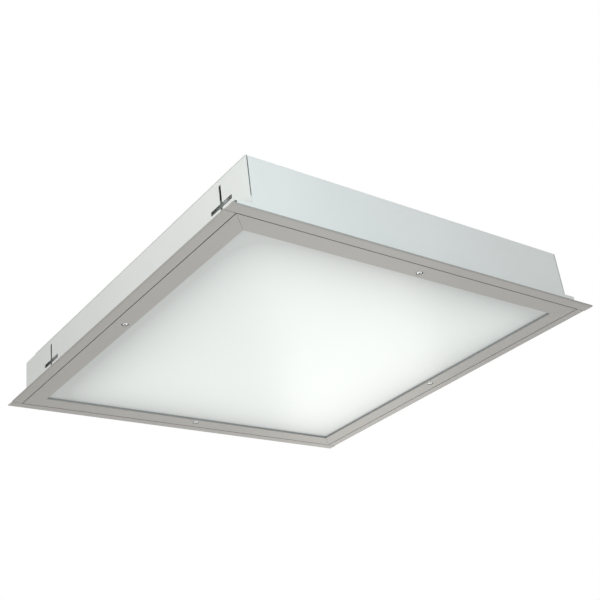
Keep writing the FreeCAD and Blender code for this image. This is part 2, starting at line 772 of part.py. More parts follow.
def make_release_buttons():
    """One spring-loaded push button per pole."""
    names = ("release_button_earth", "release_button_neutral", "release_button_live")
    buttons = {}
    for name, y in zip(names, pole_lines()):
        x = block_x + button_offset
        button = block((x - button_side / 2, y - button_side / 2, block_top - button_depth),
                       (x + button_side / 2, y + button_side / 2, block_top + button_proud))
        top = [e for e in button.Edges if e.CenterOfMass.z > block_top]
        buttons[name] = button.makeFillet(button_clearance * 2, top)
    return buttons


# Wires and earth stud

def feed_x_of(number):
    """The X place of one of the three wires in the inner grommet: earth, neutral and live."""
    return feed_x + (1 - number) * wire_spread


def box_run(number):
    """A wire's route from its pole to the inner grommet, inside the terminal box."""
    y = pole_lines()[number]
    z = box_bottom_in + entry_height
    block_end = block_x - block_length / 2
    return [(block_end + entry_depth / 2, y, z), (block_end - fold_width / 2, y, z),
            (feed_x + fold_width, y, (z + 2 * feed_height) / 3), (feed_x_of(number), y, feed_height)]


def make_mains_wires():
    """Live and neutral from the terminal block to the driver's right end."""
    z = tray_top + (driver_height - end_cover_step) / 2
    driver_end = driver_x + driver_length / 2
    wires = []
    for number, side in ((1, -1), (2, 1)):
        y = driver_y + side * driver_width / 3
        route = box_run(number) + [(feed_x_of(number), y + fold_width / 2, feed_height - wire_r),
                                   (driver_end + fold_width, y, z), (driver_end - entry_depth / 2, y, z)]
        wires.append(tube(route, wire_r))
    return Part.makeCompound(wires)


def lug_height():
    """The middle of the earth lug, under the stud's first nut."""
    return roof_low - stud_nut_height - lug_thickness / 2


def lug_tail():
    """The X place where the lug is crimped on its wire."""
    return stud_x - lug_r - fold_width / 3


def make_earth_wire():
    """Earth from the terminal block to the stud under the roof."""
    x = feed_x_of(0)
    route = box_run(0) + [(x, stud_y + fold_width / 3, feed_height + wire_r),
                          (lug_tail() - fold_width, stud_y, lug_height()), (lug_tail(), stud_y, lug_height())]
    return tube(route, wire_r)


def make_earth_stud():
    """Stud welded under the roof, with its upper and lower nuts."""
    stud = rod(stud_r, (stud_x, stud_y, roof_low), -Z_AXIS, stud_length)
    nut = [(stud_x + stud_nut_r * cos(n * pi / 3), stud_y + stud_nut_r * sin(n * pi / 3)) for n in range(6)]
    for drop in (0, stud_nut_height + lug_thickness):
        stud = stud.fuse(prism([(x, y, roof_low - drop) for x, y in nut], -Z_AXIS * stud_nut_height))
    return stud


def make_earth_lug():
    """Ring lug crimped on the earth wire, clamped between the stud's nuts."""
    low = lug_height() - lug_thickness / 2
    lug = rod(lug_r, (stud_x, stud_y, low), Z_AXIS, lug_thickness)
    lug = lug.fuse(block((lug_tail(), stud_y - wire_r, low), (stud_x, stud_y + wire_r, low + lug_thickness)))
    return lug.cut(rod(stud_r + hole_clearance, (stud_x, stud_y, low), Z_AXIS, lug_thickness))


def wire_drop():
    """Where the LED supply wires go down through the tray."""
    return connector_x(), board_rows()[-1] + board_width / 2 + fold_width


def make_led_wires():
    """The two LED supply wires from the driver's left end down to the last board's connector."""
    drop_x, drop_y = wire_drop()
    z = tray_top + (driver_height - end_cover_step) / 2
    plug_z = board_low - connector_height / 2
    driver_end = driver_x - driver_length / 2
    wires = []
    for side in (-1, 1):
        y = driver_y + side * driver_width / 3
        x = drop_x + side * led_wire_pitch / 2
        route = [(driver_end + entry_depth / 2, y, z), (driver_end - fold_width / 2, y, z),
                 (x, drop_y - side - fold_width / 2, z + side), (x, drop_y, z - fold_width / 2),
                 (x, drop_y, plug_z), (x, board_rows()[-1] + connector_width / 2, plug_z)]
        wires.append(tube(route, led_wire_r))
    return Part.makeCompound(wires)


def all_parts():
    """Every sub-part by its node name."""
    parts = {"housing_pan": make_housing_pan(), "frame_nuts": make_frame_nuts()}
    parts.update(make_end_plates())
    parts.update(make_side_ledges())
    parts.update(make_rim_trims())
    parts.update(make_frame_rails())
    parts["corner_keys"] = make_corner_keys()
    parts["pane_gasket"] = ring(pane_half, frame_in, lip_nose, pane_low, 0)
    parts["diffuser_pane"] = make_pane()
    parts["pane_clips"] = make_pane_clips()
    parts["clip_screws"] = make_clip_screws()
    seal_out = half - seal_inset
    parts["frame_seal"] = ring(seal_out, seal_out - seal_width, rail_height, ledge_low, seal_corner)
    parts["screw_sleeves"] = make_screw_sleeves()
    parts.update(make_frame_screws())
    parts["gear_tray"] = make_gear_tray()
    parts["tray_brackets"] = make_tray_brackets()
    parts["tray_screws"] = make_tray_screws()
    parts["led_boards"] = make_led_boards()
    parts["led_packages"] = make_led_packages()
    parts["board_connectors"] = make_board_connectors()
    parts["jumper_wires"] = make_jumper_wires()
    parts["driver_case"] = make_driver_case()
    parts["driver_covers"] = make_driver_covers()
    parts["driver_screws"] = make_driver_screws()
    parts["terminal_box_channel"] = make_box_channel()
    parts["terminal_box_lid"] = make_box_lid()
    parts["lid_screws"] = make_lid_screws()
    parts["cable_grommet"] = make_cable_grommet()
    parts["blanking_plug"] = make_blanking_plug()
    parts["feed_grommet"] = make_feed_grommet()
    parts["terminal_block"] = make_terminal_block()
    parts["block_screw"] = make_block_screw()
    parts.update(make_release_buttons())
    parts["mains_wires"] = make_mains_wires()
    parts["earth_wire"] = make_earth_wire()
    parts["earth_stud"] = make_earth_stud()
    parts["earth_lug"] = make_earth_lug()
    parts["led_wires"] = make_led_wires()
    return parts


os.makedirs("parts", exist_ok=True)
for name, shape in all_parts().items():
    shape.exportStep("parts/" + name + ".step")
    print(name, "solids", len(shape.Solids), "valid", shape.isValid(), "volume", round(shape.Volume, 1))
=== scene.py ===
from math import cos, cosh, pi, radians, sin

import bmesh
import bpy
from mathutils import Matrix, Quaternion, Vector


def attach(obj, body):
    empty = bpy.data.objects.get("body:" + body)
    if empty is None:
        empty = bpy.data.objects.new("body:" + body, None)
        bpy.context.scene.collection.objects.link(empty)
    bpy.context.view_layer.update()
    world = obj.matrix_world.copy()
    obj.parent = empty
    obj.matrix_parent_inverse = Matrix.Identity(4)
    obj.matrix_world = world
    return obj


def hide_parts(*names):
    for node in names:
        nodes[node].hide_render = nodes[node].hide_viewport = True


# A recessed troffer light, lying face down in the row frame: the visible face is at height 0, +Z goes
# up into the ceiling void and the terminal box is along +Y. The camera looks up at it from below.
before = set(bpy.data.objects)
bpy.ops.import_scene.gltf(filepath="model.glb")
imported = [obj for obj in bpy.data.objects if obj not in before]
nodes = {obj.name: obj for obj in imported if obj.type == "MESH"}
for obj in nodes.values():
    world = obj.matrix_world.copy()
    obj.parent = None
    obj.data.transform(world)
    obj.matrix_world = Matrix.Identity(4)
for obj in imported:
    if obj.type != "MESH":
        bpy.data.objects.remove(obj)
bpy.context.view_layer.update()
scene = bpy.context.scene
MM = 0.001

# ---------------------------------------------------------------------------------------------------
# Camera: the photograph's view, solved from the rim's corners and the frame's lines. It stands below
# the near corner and looks up. The frame of the photograph is 600 by 600, and nothing is shifted.
camera_place = Vector((-0.83762, -1.03308, -0.58716))
camera_turn = radians(39.879)               # from +Y towards +X
camera_rise = radians(26.944)
camera_roll = radians(-7.5695)
focal_pixels = 1027.45
camera_data = bpy.data.cameras.new("camera")
camera_data.sensor_width = 36.0
camera_data.lens = focal_pixels * camera_data.sensor_width / 600
camera = bpy.data.objects.new("camera", camera_data)
scene.collection.objects.link(camera)
towards = Vector((sin(camera_turn) * cos(camera_rise), cos(camera_turn) * cos(camera_rise), sin(camera_rise)))
camera.rotation_mode = "QUATERNION"
camera.rotation_quaternion = towards.to_track_quat("-Z", "Y") @ Quaternion((0, 0, 1), camera_roll)
camera.location = camera_place
scene.camera = camera
scene.view_settings.view_transform = "Standard"


# ---------------------------------------------------------------------------------------------------
# Studio: a wide pale floor below the camera, a white room and five soft lamps. The room shows as plain
# white to the camera and in gloss, and lights the object at a lower strength. The floor keeps the shadow.
def linear(colour):
    """A linear RGBA colour from an sRGB hex value."""
    channels = [int(colour[n:n + 2], 16) / 255 for n in (1, 3, 5)]
    return [c / 12.92 if c <= 0.04045 else ((c + 0.055) / 1.055) ** 2.4 for c in channels] + [1.0]


def add_node(tree, kind, inputs=None, **settings):
    """Adds one node. Each of inputs is a value, or the socket that feeds it."""
    node = tree.nodes.new(kind)
    for name, value in settings.items():
        setattr(node, name, value)
    for name, value in (inputs or {}).items():
        if isinstance(value, bpy.types.NodeSocket):
            tree.links.new(value, node.inputs[name])
        else:
            node.inputs[name].default_value = value
    return node


world = bpy.data.worlds.new("white_room")
world.use_nodes = True
room = world.node_tree
room.nodes.clear()
path = add_node(room, "ShaderNodeLightPath")
sight = add_node(room, "ShaderNodeMath", {0: path.outputs["Is Camera Ray"], 1: path.outputs["Is Glossy Ray"]},
                 operation="MAXIMUM")
sight = add_node(room, "ShaderNodeMath", {0: sight.outputs[0], 1: path.outputs["Is Transmission Ray"]},
                 operation="MAXIMUM")
room_light = 0.55                           # the room's strength where it lights the object
shown = add_node(room, "ShaderNodeBackground", {"Color": linear("#ffffff"), "Strength": 1.0})
lit = add_node(room, "ShaderNodeBackground", {"Color": linear("#ffffff"), "Strength": room_light})
both = add_node(room, "ShaderNodeMixShader", {0: sight.outputs[0], 1: lit.outputs[0], 2: shown.outputs[0]})
add_node(room, "ShaderNodeOutputWorld", {"Surface": both.outputs[0]})
scene.world = world

floor_height = -1.2
floor_reach = 5.0
floor_mesh = bpy.data.meshes.new("floor")
corners = [(x, y, floor_height) for x, y in ((-1, -1), (1, -1), (1, 1), (-1, 1))]
floor_mesh.from_pydata([(x * floor_reach, y * floor_reach, z) for x, y, z in corners], [], [(0, 1, 2, 3)])
floor = bpy.data.objects.new("floor", floor_mesh)
scene.collection.objects.link(floor)
paint = bpy.data.materials.new("pale_studio_floor")
paint.use_nodes = True
speckle = add_node(paint.node_tree, "ShaderNodeTexNoise", {"Scale": 40.0})
tone = add_node(paint.node_tree, "ShaderNodeMix", {0: speckle.outputs["Fac"], 6: linear("#f0f0ee"),
                                                   7: linear("#f6f6f5")}, data_type="RGBA")
surface = paint.node_tree.nodes["Principled BSDF"]
paint.node_tree.links.new(tone.outputs[2], surface.inputs["Base Color"])
surface.inputs["Roughness"].default_value = 0.8
floor_sight = add_node(paint.node_tree, "ShaderNodeLightPath")
floor_lift = 0.3                            # seen by the camera only, so that the floor stays pale
floor_glow = add_node(paint.node_tree, "ShaderNodeMath", {0: floor_sight.outputs["Is Camera Ray"],
                                                          1: floor_lift}, operation="MULTIPLY")
surface.inputs["Emission Color"].default_value = linear("#ffffff")
paint.node_tree.links.new(floor_glow.outputs[0], surface.inputs["Emission Strength"])
floor_mesh.materials.append(paint)


def soft_lamp(name, place, aim, size, power, colour):
    """A square area lamp at place that faces aim, in metres and watts."""
    data = bpy.data.lights.new(name, "AREA")
    data.size = size
    data.energy = power
    data.color = linear(colour)[:3]
    lamp = bpy.data.objects.new(name, data)
    lamp.location = place
    lamp.visible_camera = False
    lamp.rotation_mode = "QUATERNION"
    lamp.rotation_quaternion = (Vector(aim) - Vector(place)).to_track_quat("-Z", "Y")
    scene.collection.objects.link(lamp)


soft_lamp("lamp_front", (-0.42, -0.85, -0.05), (-0.1, -0.28, 0.04), 0.6, 2.1, "#e6faff")
soft_lamp("lamp_left", (-0.85, -0.3, -0.05), (-0.28, 0.0, 0.04), 0.6, 1.6, "#fffdf8")
soft_lamp("lamp_low", (0.45, 0.45, -1.1), (0.1, 0.1, 0), 1.4, 10.6, "#fffdfb")
soft_lamp("lamp_far", (0.58, 0.5, -0.36), (0.28, 0.2, 0), 0.35, 0.55, "#fffaf4")
soft_lamp("lamp_high", (0.8, 0.9, 1.5), (0.1, 0.1, 0.04), 1.2, 8.0, "#ffffff")

# ---------------------------------------------------------------------------------------------------
# Housing: thin steel sheet, folded, spot-welded and powder-coated white. Baked powder leaves a satin
# skin with a fine orange peel. Real peel is about 1 mm wide, and is drawn at 3 mm so that it shows.


def material_of(name):
    """A new material with its tree, its main shader and the object's own coordinates."""
    material = bpy.data.materials.new(name)
    material.use_nodes = True
    tree = material.node_tree
    place = add_node(tree, "ShaderNodeTexCoord").outputs["Object"]
    return material, tree, tree.nodes["Principled BSDF"], place


def powder_coat(name, low, high, rough, peel_mm, peel_depth):
    """Baked powder on metal: an even colour, a satin sheen and a shallow orange peel."""
    material, tree, shader, place = material_of(name)
    drift = add_node(tree, "ShaderNodeTexNoise", {"Vector": place, "Scale": 1 / (90 * MM), "Detail": 3.0})
    peel = add_node(tree, "ShaderNodeTexNoise", {"Vector": place, "Scale": 1 / (peel_mm * MM), "Detail": 2.0})
    tone = add_node(tree, "ShaderNodeMix", {0: drift.outputs["Fac"], 6: linear(low), 7: linear(high)},
                    data_type="RGBA")
    tree.links.new(tone.outputs[2], shader.inputs["Base Color"])
    sheen = add_node(tree, "ShaderNodeMapRange", {"Value": peel.outputs["Fac"], "To Min": rough - 0.05,
                                                  "To Max": rough + 0.06})
    tree.links.new(sheen.outputs["Result"], shader.inputs["Roughness"])
    bump = add_node(tree, "ShaderNodeBump", {"Height": peel.outputs["Fac"], "Distance": peel_depth * MM,
                                             "Strength": 0.35})
    tree.links.new(bump.outputs["Normal"], shader.inputs["Normal"])
    return material


def dress(material, *names):
    """Gives CAD nodes a material."""
    for name in names:
        nodes[name].data.materials.clear()
        nodes[name].data.materials.append(material)


white_coat = powder_coat("white_powder_coated_steel", "#dfe1df", "#e6e8e6", 0.42, 3.0, 0.10)
dress(white_coat, "housing_pan", "end_plate_left", "end_plate_right", "side_ledge_front", "side_ledge_back")

# ---------------------------------------------------------------------------------------------------
# Rim and frame: aluminium extrusions and angle strips in a warm satin grey coat, the strips butted and
# the frame mitred. The coat is finer than the housing's. A painted shade darkens the groove between strips
# and frame.
grey_coat = powder_coat("satin_grey_coated_aluminium", "#a19f9b", "#a8a6a2", 0.40, 2.2, 0.05)
groove_middle = 282.1 * MM                  # from the rim's middle
groove_half = 0.75 * MM
tree = grey_coat.node_tree
place = add_node(tree, "ShaderNodeTexCoord").outputs["Object"]
axes = add_node(tree, "ShaderNodeSeparateXYZ", {"Vector": place})
ways = [add_node(tree, "ShaderNodeMath", {0: axes.outputs[axis]}, operation="ABSOLUTE") for axis in "XY"]
outward = add_node(tree, "ShaderNodeMath", {0: ways[0].outputs[0], 1: ways[1].outputs[0]},
                   operation="MAXIMUM")
groove = add_node(tree, "ShaderNodeMath", {0: outward.outputs[0], 1: groove_middle, 2: groove_half},
                  operation="COMPARE")
colour = tree.nodes["Principled BSDF"].inputs["Base Color"]
# painted shade: within the groove's band the coat's colour turns dark grey
painted_groove_shade = add_node(tree, "ShaderNodeMix", {0: groove.outputs[0], 6: colour.links[0].from_socket,
                                         7: linear("#7a7976")}, data_type="RGBA")
tree.links.new(painted_groove_shade.outputs[2], colour)
dress(grey_coat, "rim_trim_front", "rim_trim_back", "rim_trim_left", "rim_trim_right",
      "frame_rail_front", "frame_rail_right", "frame_rail_back", "frame_rail_left")

# ---------------------------------------------------------------------------------------------------
# Diffuser: a 3 mm opal acrylic sheet. It scatters light, so it looks milky white. Its margin is darker by a
# painted shade, standing in for the chamber's walls shading it from behind, and a faint painted glow lifts
# the whole face. A little of the inside shows through.
pane_view = 256.0 * MM                      # from the middle to the frame's lip
shade_reach = 48.0 * MM                     # how far the margin's painted shade reaches inwards
opal, tree, shader, place = material_of("opal_acrylic")
shade_middle = (13 * MM, 7 * MM, 0.0)       # the painted shade's middle is set towards +X and +Y, so it is darker along the -X and -Y edges
shift = add_node(tree, "ShaderNodeMapping", {"Vector": place, "Location": [-part for part in shade_middle]})
axes = add_node(tree, "ShaderNodeSeparateXYZ", {"Vector": shift.outputs["Vector"]})
squares = []
for axis in "XY":
    way = add_node(tree, "ShaderNodeMath", {0: axes.outputs[axis], 1: shade_reach}, operation="DIVIDE")
    rise = add_node(tree, "ShaderNodeMath", {0: way.outputs[0]}, operation="COSH")
    share = add_node(tree, "ShaderNodeMath", {0: rise.outputs[0], 1: cosh(pane_view / shade_reach)},
                     operation="DIVIDE")
    square = add_node(tree, "ShaderNodeMath", {0: share.outputs[0], 1: 2.0}, operation="POWER")
    squares.append(square.outputs[0])
total = add_node(tree, "ShaderNodeMath", {0: squares[0], 1: squares[1]}, operation="ADD")
shade = add_node(tree, "ShaderNodeMath", {0: total.outputs[0]}, operation="SQRT")
# painted shade: the colour darkens from milky white in the middle to grey at the margin
opal_painted_shade = add_node(tree, "ShaderNodeMix", {0: shade.outputs[0], 6: linear("#f7fbfa"), 7: linear("#bfc2c1")},
                data_type="RGBA")
tree.links.new(opal_painted_shade.outputs[2], shader.inputs["Base Color"])
shader.inputs["Roughness"].default_value = 0.3
shader.inputs["IOR"].default_value = 1.49
shader.inputs["Alpha"].default_value = 0.9
# painted glow: a faint emission brightens the whole pane, though the LEDs behind it give no light
shader.inputs["Emission Color"].default_value = linear("#f4fffc")
shader.inputs["Emission Strength"].default_value = 0.07
dress(opal, "diffuser_pane")

# ---------------------------------------------------------------------------------------------------
# Pane gasket: a dark grey rubber strip under the pane's margin. Between the frame's lip and the pane it
# shows as a thin dark line. It is extruded, cut and mitred, and its edges are soft.


def moulded(name, low, high, rough, grain_mm):
    """Moulded plastic or rubber: an even colour with the mould's spark-eroded grain. Real grain is about
    0.1 mm, and is drawn at grain_mm so that it shows."""
    material, tree, shader, place = material_of(name)
    grain = add_node(tree, "ShaderNodeTexNoise", {"Vector": place, "Scale": 1 / (grain_mm * MM),
                                                  "Detail": 3.0})
    tone = add_node(tree, "ShaderNodeMix", {0: grain.outputs["Fac"], 6: linear(low), 7: linear(high)},
                    data_type="RGBA")
    tree.links.new(tone.outputs[2], shader.inputs["Base Color"])
    shader.inputs["Roughness"].default_value = rough
    bump = add_node(tree, "ShaderNodeBump", {"Height": grain.outputs["Fac"], "Distance": 0.03 * MM,
                                             "Strength": 0.4})
    tree.links.new(bump.outputs["Normal"], shader.inputs["Normal"])
    return material


def piece_of(name, shape, material):
    """An object from a bmesh: doubles merged, faces outward, soft where it is round."""
    bmesh.ops.remove_doubles(shape, verts=shape.verts, dist=0.002 * MM)
    bmesh.ops.recalc_face_normals(shape, faces=shape.faces)
    mesh = bpy.data.meshes.new(name)
    shape.to_mesh(mesh)
    shape.free()
    mesh.materials.append(material)
    mesh.shade_smooth()
    mesh.set_sharp_from_angle(angle=radians(35))
    piece = bpy.data.objects.new(name, mesh)
    scene.collection.objects.link(piece)
    return piece


def square_ring(name, section, corner_r, corner_steps, material):
    """A closed square ring. Section is (distance from the middle to the side, height) in millimetres."""
    shape = bmesh.new()
    far = max(reach for reach, z in section)
    loops = []
    for reach, z in section:
        inner_r = max(corner_r - (far - reach), 0.0)
        middle = reach - inner_r
        loop = []
        for turn in range(4):
            for step in range(corner_steps + 1):
                angle = pi / 2 * (turn + step / corner_steps)
                centre_x = middle if turn in (0, 3) else -middle
                centre_y = middle if turn in (0, 1) else -middle
                loop.append(shape.verts.new(((centre_x + inner_r * cos(angle)) * MM,
                                             (centre_y + inner_r * sin(angle)) * MM, z * MM)))
        loops.append(loop)
    for one, other in zip(loops, loops[1:] + loops[:1]):
        for n in range(len(one)):
            m = (n + 1) % len(one)
            shape.faces.new((one[n], one[m], other[m], other[n]))
    return piece_of(name, shape, material)


grey_rubber = moulded("grey_rubber", "#989b9c", "#a2a5a6", 0.6, 0.8)
gasket_section = [(256.3, 0.8), (258.9, 0.8), (259.2, 1.1), (259.2, 2.9), (258.9, 3.2), (256.5, 3.2),
                  (256.05, 2.7), (256.0, 2.0), (256.05, 1.3)]
gasket = square_ring("pane_gasket_strip", gasket_section, 0, 1, grey_rubber)
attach(gasket, "diffuser_frame")
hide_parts("pane_gasket")

# ---------------------------------------------------------------------------------------------------
# Pane clips and corner keys: spring steel angles press the pane on its gasket, and die-cast keys hold
# the mitres together inside the rails. Rolled spring steel keeps a darker sheen than the cast keys.


def bare_metal(name, low, high, rough, grain_mm):
    """Bare or plated metal: a soft mottled sheen. Its real grain is under 0.1 mm, and is drawn at
    grain_mm so that it shows."""
    material, tree, shader, place = material_of(name)
    grain = add_node(tree, "ShaderNodeTexNoise", {"Vector": place, "Scale": 1 / (grain_mm * MM),
                                                  "Detail": 4.0})
    tone = add_node(tree, "ShaderNodeMix", {0: grain.outputs["Fac"], 6: linear(low), 7: linear(high)},
                    data_type="RGBA")
    tree.links.new(tone.outputs[2], shader.inputs["Base Color"])
    sheen = add_node(tree, "ShaderNodeMapRange", {"Value": grain.outputs["Fac"], "To Min": rough - 0.08,
                                                  "To Max": rough + 0.1})
    tree.links.new(sheen.outputs["Result"], shader.inputs["Roughness"])
    shader.inputs["Metallic"].default_value = 1.0
    return material


dress(bare_metal("rolled_spring_steel", "#8f9193", "#b4b6b8", 0.32, 2.0), "pane_clips")
dress(bare_metal("die_cast_aluminium", "#a9abac", "#c6c8c9", 0.5, 0.8), "corner_keys")

# ---------------------------------------------------------------------------------------------------
# Frame seal: a strip of closed-cell polyethylene foam, glued round the back of the frame. It is pale
# and dull, and its pressed edges are round. Real cells are 0.5 mm and are drawn at 0.9 mm.
foam = moulded("closed_cell_foam", "#cfcfca", "#e0e0dc", 0.9, 0.9)
seal_section = [(271.0, 13.2), (271.4, 12.4), (272.2, 12.0), (277.8, 12.0), (278.6, 12.4), (279.0, 13.2),
                (279.0, 16.0), (278.6, 16.8), (277.8, 17.2), (272.2, 17.2), (271.4, 16.8), (271.0, 16.0)]
seal_corner = 8.0
seal = square_ring("frame_seal_strip", seal_section, seal_corner, 8, foam)
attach(seal, "diffuser_frame")
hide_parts("frame_seal")

# ---------------------------------------------------------------------------------------------------
# Frame screws: four button-head screws of bright zinc-plated steel, one in the middle of each side, sunk
# in the rail's face. Heads are cold-forged with a low dome and a 3 mm hexagon, and threads are rolled.
frame_screw_line = 265.9                    # from the middle to each screw
head_r = 4.3
shank_r = 2.45
socket_flat = 1.5                           # half of the 3 mm across the flats
thread_pitch = 0.8
thread_depth = 0.22


def rings_of(shape, rings, around, seat, direction, hollow=False):
    """Adds rings about an axis. A ring is (radius, height) in millimetres, and its radius may be a
    function of the angle. A hollow shape joins its last ring to its first."""
    lie = Vector((0, 0, 1)).rotation_difference(Vector(direction))
    loops = []
    for radius, height in rings:
        loop = []
        for n in range(around):
            angle = 2 * pi * n / around
            r = radius(angle) if callable(radius) else radius
            point = lie @ Vector((r * cos(angle), r * sin(angle), height)) + Vector(seat)
            loop.append(shape.verts.new(point * MM))
        loops.append(loop)
    for one, other in zip(loops, loops[1:] + (loops[:1] if hollow else [])):
        for n in range(around):
            m = (n + 1) % around
            shape.faces.new((one[n], one[m], other[m], other[n]))


def hexagon(half_flat):
    """The radius of a hexagon at an angle, from half its size across the flats."""
    return lambda angle: half_flat / cos((angle + pi / 6) % (pi / 3) - pi / 6)


def rolled_thread(radius, height):
    """The radius of a screw thread at an angle, at one height."""
    return lambda angle: radius - thread_depth * abs(2 * ((height / thread_pitch + angle / 2 / pi) % 1) - 1)


zinc = bare_metal("bright_zinc_plated_steel", "#c4c7c9", "#dcdedf", 0.3, 1.5)
for side, x, y in (("front", 0, -1), ("right", 1, 0), ("back", 0, 1), ("left", -1, 0)):
    rings = [(0, 2.9), (hexagon(0.9), 2.75), (hexagon(socket_flat), 2.6), (hexagon(socket_flat), 0.4),
             (1.9, 0.12), (2.5, 0.12), (3.0, 0.3), (3.5, 0.62), (3.85, 1.1), (4.05, 1.8), (4.1, 2.6),
             (head_r, 3.2), (head_r, 4.05), (4.1, 4.2), (shank_r, 4.2), (shank_r, 16.0)]
    heights = [16.2 + n * thread_pitch / 4 for n in range(51)]
    rings += [(rolled_thread(shank_r, height), height) for height in heights]
    rings += [(2.1, 26.6), (1.8, 27.0), (0, 27.0)]
    shape = bmesh.new()
    rings_of(shape, rings, 48, (x * frame_screw_line, y * frame_screw_line, 0), (0, 0, 1))
    screw = piece_of("socket_screw_" + side, shape, zinc)
    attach(screw, "screw_" + side)
    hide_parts("frame_screw_" + side)

# ---------------------------------------------------------------------------------------------------
# Rivet nuts and sleeves: zinc-plated steel. A nut's knurled barrel is pressed through the ledge and its
# bulge grips the sheet. A sleeve keeps the frame screw from crushing the hollow rail.
dress(zinc, "screw_sleeves")


def knurled(radius):
    """The radius of a barrel with 16 grooves, 0.12 mm deep."""
    return lambda angle: radius - 0.12 * abs(2 * ((angle * 16 / (2 * pi)) % 1) - 1)


nut_rings = [(2.75, 16.4), (4.7, 16.4), (4.9, 16.55), (4.9, 17.05), (4.8, 17.2), (3.3, 17.2), (3.3, 18.0),
             (3.5, 18.2), (3.5, 18.8), (3.3, 20.0), (knurled(3.3), 20.2), (knurled(3.3), 26.6),
             (3.05, 27.2), (2.7, 27.2), (2.5, 27.0), (2.5, 16.6)]
shape = bmesh.new()
for x, y in ((0, -1), (1, 0), (0, 1), (-1, 0)):
    rings_of(shape, nut_rings, 64, (x * frame_screw_line, y * frame_screw_line, 0), (0, 0, 1), hollow=True)
nuts = piece_of("rivet_nuts", shape, zinc)
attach(nuts, "housing")
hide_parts("frame_nuts")

# ---------------------------------------------------------------------------------------------------
# Small pan-head screws: zinc-plated, with a cross recess. They hold the pane clips, the gear tray, the
# driver, the terminal block and the lid. One tree puts a screw on each point of a piece's places.


def cross(reach, half_width):
    """The radius of a cross recess at an angle."""
    def radius(angle):
        across, along = abs(sin(angle)) + 1e-6, abs(cos(angle)) + 1e-6
        return max(min(half_width / across, reach / along), min(half_width / along, reach / across))
    return radius


def pan_head(name, shank_r, head_r, head_height, length, direction):
    """One screw with its seat at the origin, to be repeated."""
    top = -head_height
    rings = [(0, top + 0.75 * head_height), (cross(0.25 * head_r, 0.08 * head_r), top + 0.7 * head_height),
             (cross(0.52 * head_r, 0.11 * head_r), top + 0.06 * head_height), (0.66 * head_r, top),
             (0.82 * head_r, top + 0.12 * head_height), (0.94 * head_r, top + 0.32 * head_height),
             (head_r, top + 0.62 * head_height), (head_r, -0.05), (0.97 * head_r, 0), (shank_r, 0)]
    turns = int(length / 0.35)
    for n in range(1, turns):
        rings.append((shank_r - (0.28 if n % 2 else 0.0), length * n / turns))
    rings += [(shank_r - 0.5, length), (0, length)]
    shape = bmesh.new()
    rings_of(shape, rings, 32, (0, 0, 0), direction)
    return piece_of(name, shape, zinc)


def repeat_tree(name, **numbers):
    """Begins a tree that puts a pattern on points, with its named inputs."""
    tree = bpy.data.node_groups.new(name, "GeometryNodeTree")
    face = tree.interface
    face.new_socket("Geometry", in_out="INPUT", socket_type="NodeSocketGeometry")
    face.new_socket("Pattern", in_out="INPUT", socket_type="NodeSocketObject")
    face.new_socket("Finish", in_out="INPUT", socket_type="NodeSocketMaterial")
    for label, kind in numbers.items():
        face.new_socket(label, in_out="INPUT", socket_type=kind)
    face.new_socket("Geometry", in_out="OUTPUT", socket_type="NodeSocketGeometry")
    enter = add_node(tree, "NodeGroupInput")
    shape_of = add_node(tree, "GeometryNodeObjectInfo", {"Object": enter.outputs["Pattern"]},
                        transform_space="ORIGINAL")
    return tree, enter, shape_of


def end_tree(tree, enter, points, shape_of):
    """Puts the pattern on the points, makes the copies real and gives them their finish."""
    put = add_node(tree, "GeometryNodeInstanceOnPoints", {"Points": points,
                                                          "Instance": shape_of.outputs["Geometry"]})
    real = add_node(tree, "GeometryNodeRealizeInstances", {"Geometry": put.outputs["Instances"]})
    coat = add_node(tree, "GeometryNodeSetMaterial", {"Geometry": real.outputs["Geometry"],
                                                      "Material": enter.outputs["Finish"]})
    add_node(tree, "NodeGroupOutput", {"Geometry": coat.outputs["Geometry"]})


def grown(name, points_mesh, tree, inputs):
    """Runs a tree on a mesh and keeps the result as a plain piece at the origin."""
    start = bpy.data.objects.new(name + "_start", points_mesh)
    scene.collection.objects.link(start)
    grow = start.modifiers.new("grow", "NODES")
    grow.node_group = tree
    for item in tree.interface.items_tree:
        if item.in_out == "INPUT" and item.name in inputs:
            grow[item.identifier] = inputs[item.name]
    seen = start.evaluated_get(bpy.context.evaluated_depsgraph_get())
    mesh = bpy.data.meshes.new_from_object(seen)
    start.modifiers.remove(grow)
    bpy.data.objects.remove(start)
    mesh.name = name
    piece = bpy.data.objects.new(name, mesh)
    scene.collection.objects.link(piece)
    return piece


